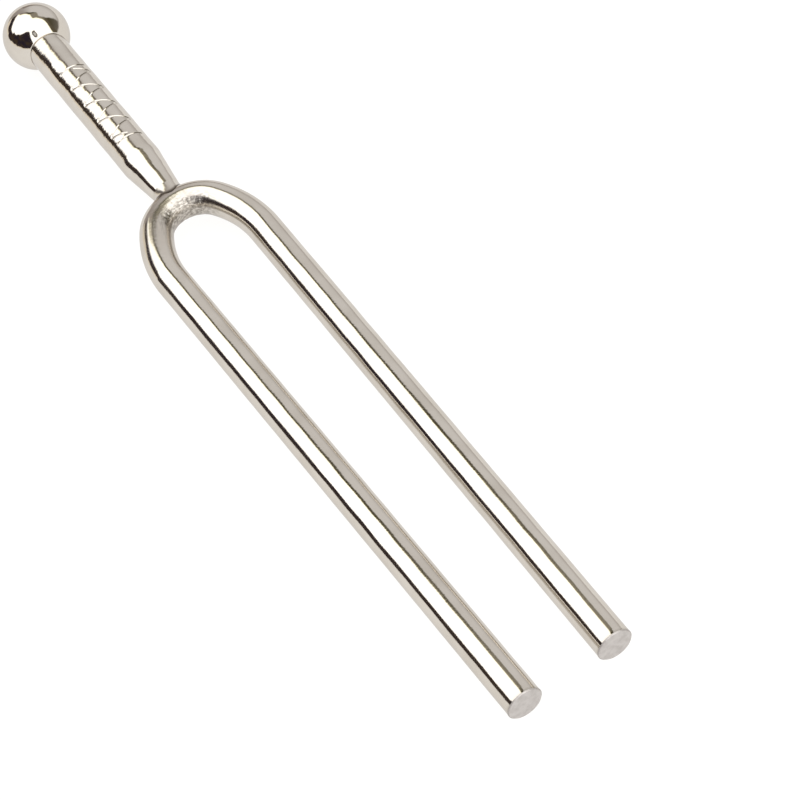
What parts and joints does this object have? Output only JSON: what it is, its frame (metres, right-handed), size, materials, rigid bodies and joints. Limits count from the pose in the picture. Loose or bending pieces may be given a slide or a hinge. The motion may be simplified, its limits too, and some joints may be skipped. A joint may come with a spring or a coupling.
{
  "type": "tuning fork",
  "caption": "Two-tined tuning fork bent from round steel rod, with a turned stem brazed to the crown and a ball foot that carries the tone into a surface.",
  "frame": {"origin": "centre of the bounding box of the whole fork, on the stem's axis", "axes": "+Y along the stem towards the ball, +X from one tine to the other, +Z normal to the plane of the fork, towards the engraved side"},
  "size_m": [0.0154, 0.1148, 0.0078],
  "materials": {
    "plated_rod": "polished",
    "plated_stem": "polished",
    "plated_ball": "polished",
    "plated_braze": "satin"
  },
  "bodies": {
    "root": {"prong_fork": "plated_rod", "stem": "plated_stem", "ball_end": "plated_ball", "braze_bead": "plated_braze"}
  },
  "joints": []
}
